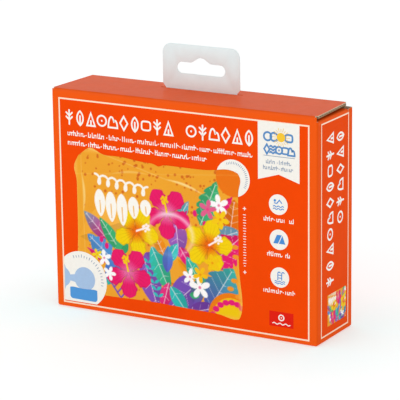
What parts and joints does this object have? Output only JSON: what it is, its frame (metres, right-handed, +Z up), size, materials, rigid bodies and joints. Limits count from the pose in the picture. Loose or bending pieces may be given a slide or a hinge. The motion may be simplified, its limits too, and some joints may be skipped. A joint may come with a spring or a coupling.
{
  "type": "inflatable camp pillow in its retail carton",
  "caption": "Upright orange tuck-top carton of thin corrugated board with a sliding plastic hang tab, holding a folded inflatable camp pillow with its valve.",
  "frame": {"origin": "centre of the carton's underside, on the surface that it stands on", "axes": "+Z up, the carton's front face towards -Y, its long side along X, its right side panel towards +X"},
  "size_m": [0.17, 0.044, 0.156],
  "materials": {
    "printed_board": "satin printed orange liner, brown fluted core and inner liner",
    "plain_board": "matte unprinted kraft",
    "tab_plastic": "milky, translucent",
    "printed_vinyl": "glossy soft film with a printed flower pattern",
    "flocked_vinyl": "short velvety flock",
    "valve_plastic": "soft translucent vinyl",
    "paper": "matte",
    "patch_vinyl": "glossy soft film"
  },
  "bodies": {
    "carton": {"front_panel": "printed_board", "back_panel": "printed_board", "left_panel": "printed_board", "right_panel": "printed_board", "glue_flap": "plain_board", "bottom_front_flap": "printed_board", "bottom_back_flap": "printed_board", "bottom_left_flap": "printed_board", "bottom_right_flap": "printed_board"},
    "lid": {"lid_panel": "printed_board"},
    "tuck_flap": {"lid_tuck_flap": "printed_board"},
    "dust_flap_left": {"top_dust_flap_left": "printed_board"},
    "dust_flap_right": {"top_dust_flap_right": "printed_board"},
    "hang_tab": {"hang_tab": "tab_plastic"},
    "pillow_pack": {"pillow_printed_sheet": "printed_vinyl", "pillow_flocked_sheet": "flocked_vinyl", "valve_body": "valve_plastic", "valve_flap": "valve_plastic", "instruction_leaflet": "paper", "repair_patch": "patch_vinyl"},
    "valve_plug": {"valve_plug": "valve_plastic"}
  },
  "joints": [
    {"name": "lid_hinge", "type": "hinge", "parent": "carton", "child": "lid", "pos_m": [0, -0.022, 0.13003], "axis": [1, 0, 0], "range_deg": [0, 180]},
    {"name": "tuck_crease", "type": "hinge", "parent": "lid", "child": "tuck_flap", "pos_m": [0, 0.0201, 0.13003], "axis": [1, 0, 0], "range_deg": [0, 63]},
    {"name": "dust_crease_left", "type": "hinge", "parent": "carton", "child": "dust_flap_left", "pos_m": [-0.085, 0, 0.12813], "axis": [0, -1, 0], "range_deg": [0, 90]},
    {"name": "dust_crease_right", "type": "hinge", "parent": "carton", "child": "dust_flap_right", "pos_m": [0.085, 0, 0.12813], "axis": [0, 1, 0], "range_deg": [0, 90]},
    {"name": "hang_tab_slide", "type": "slide", "parent": "lid", "child": "hang_tab", "axis": [0, 0, 1], "range_m": [-0.024, 0]},
    {"name": "pillow_slide", "type": "slide", "parent": "carton", "child": "pillow_pack", "axis": [0, 0, 1], "range_m": [0, 0.02]},
    {"name": "valve_plug_hinge", "type": "hinge", "parent": "pillow_pack", "child": "valve_plug", "pos_m": [-0.045, 0.0044, 0.07843], "axis": [1, 0, 0], "range_deg": [0, 100]}
  ],
  "couplings": [
    {"joint": "tuck_crease", "follows": "lid_hinge", "ratio": 0.35},
    {"joint": "dust_crease_left", "follows": "lid_hinge", "ratio": 0.5},
    {"joint": "dust_crease_right", "follows": "lid_hinge", "ratio": 0.5}
  ]
}
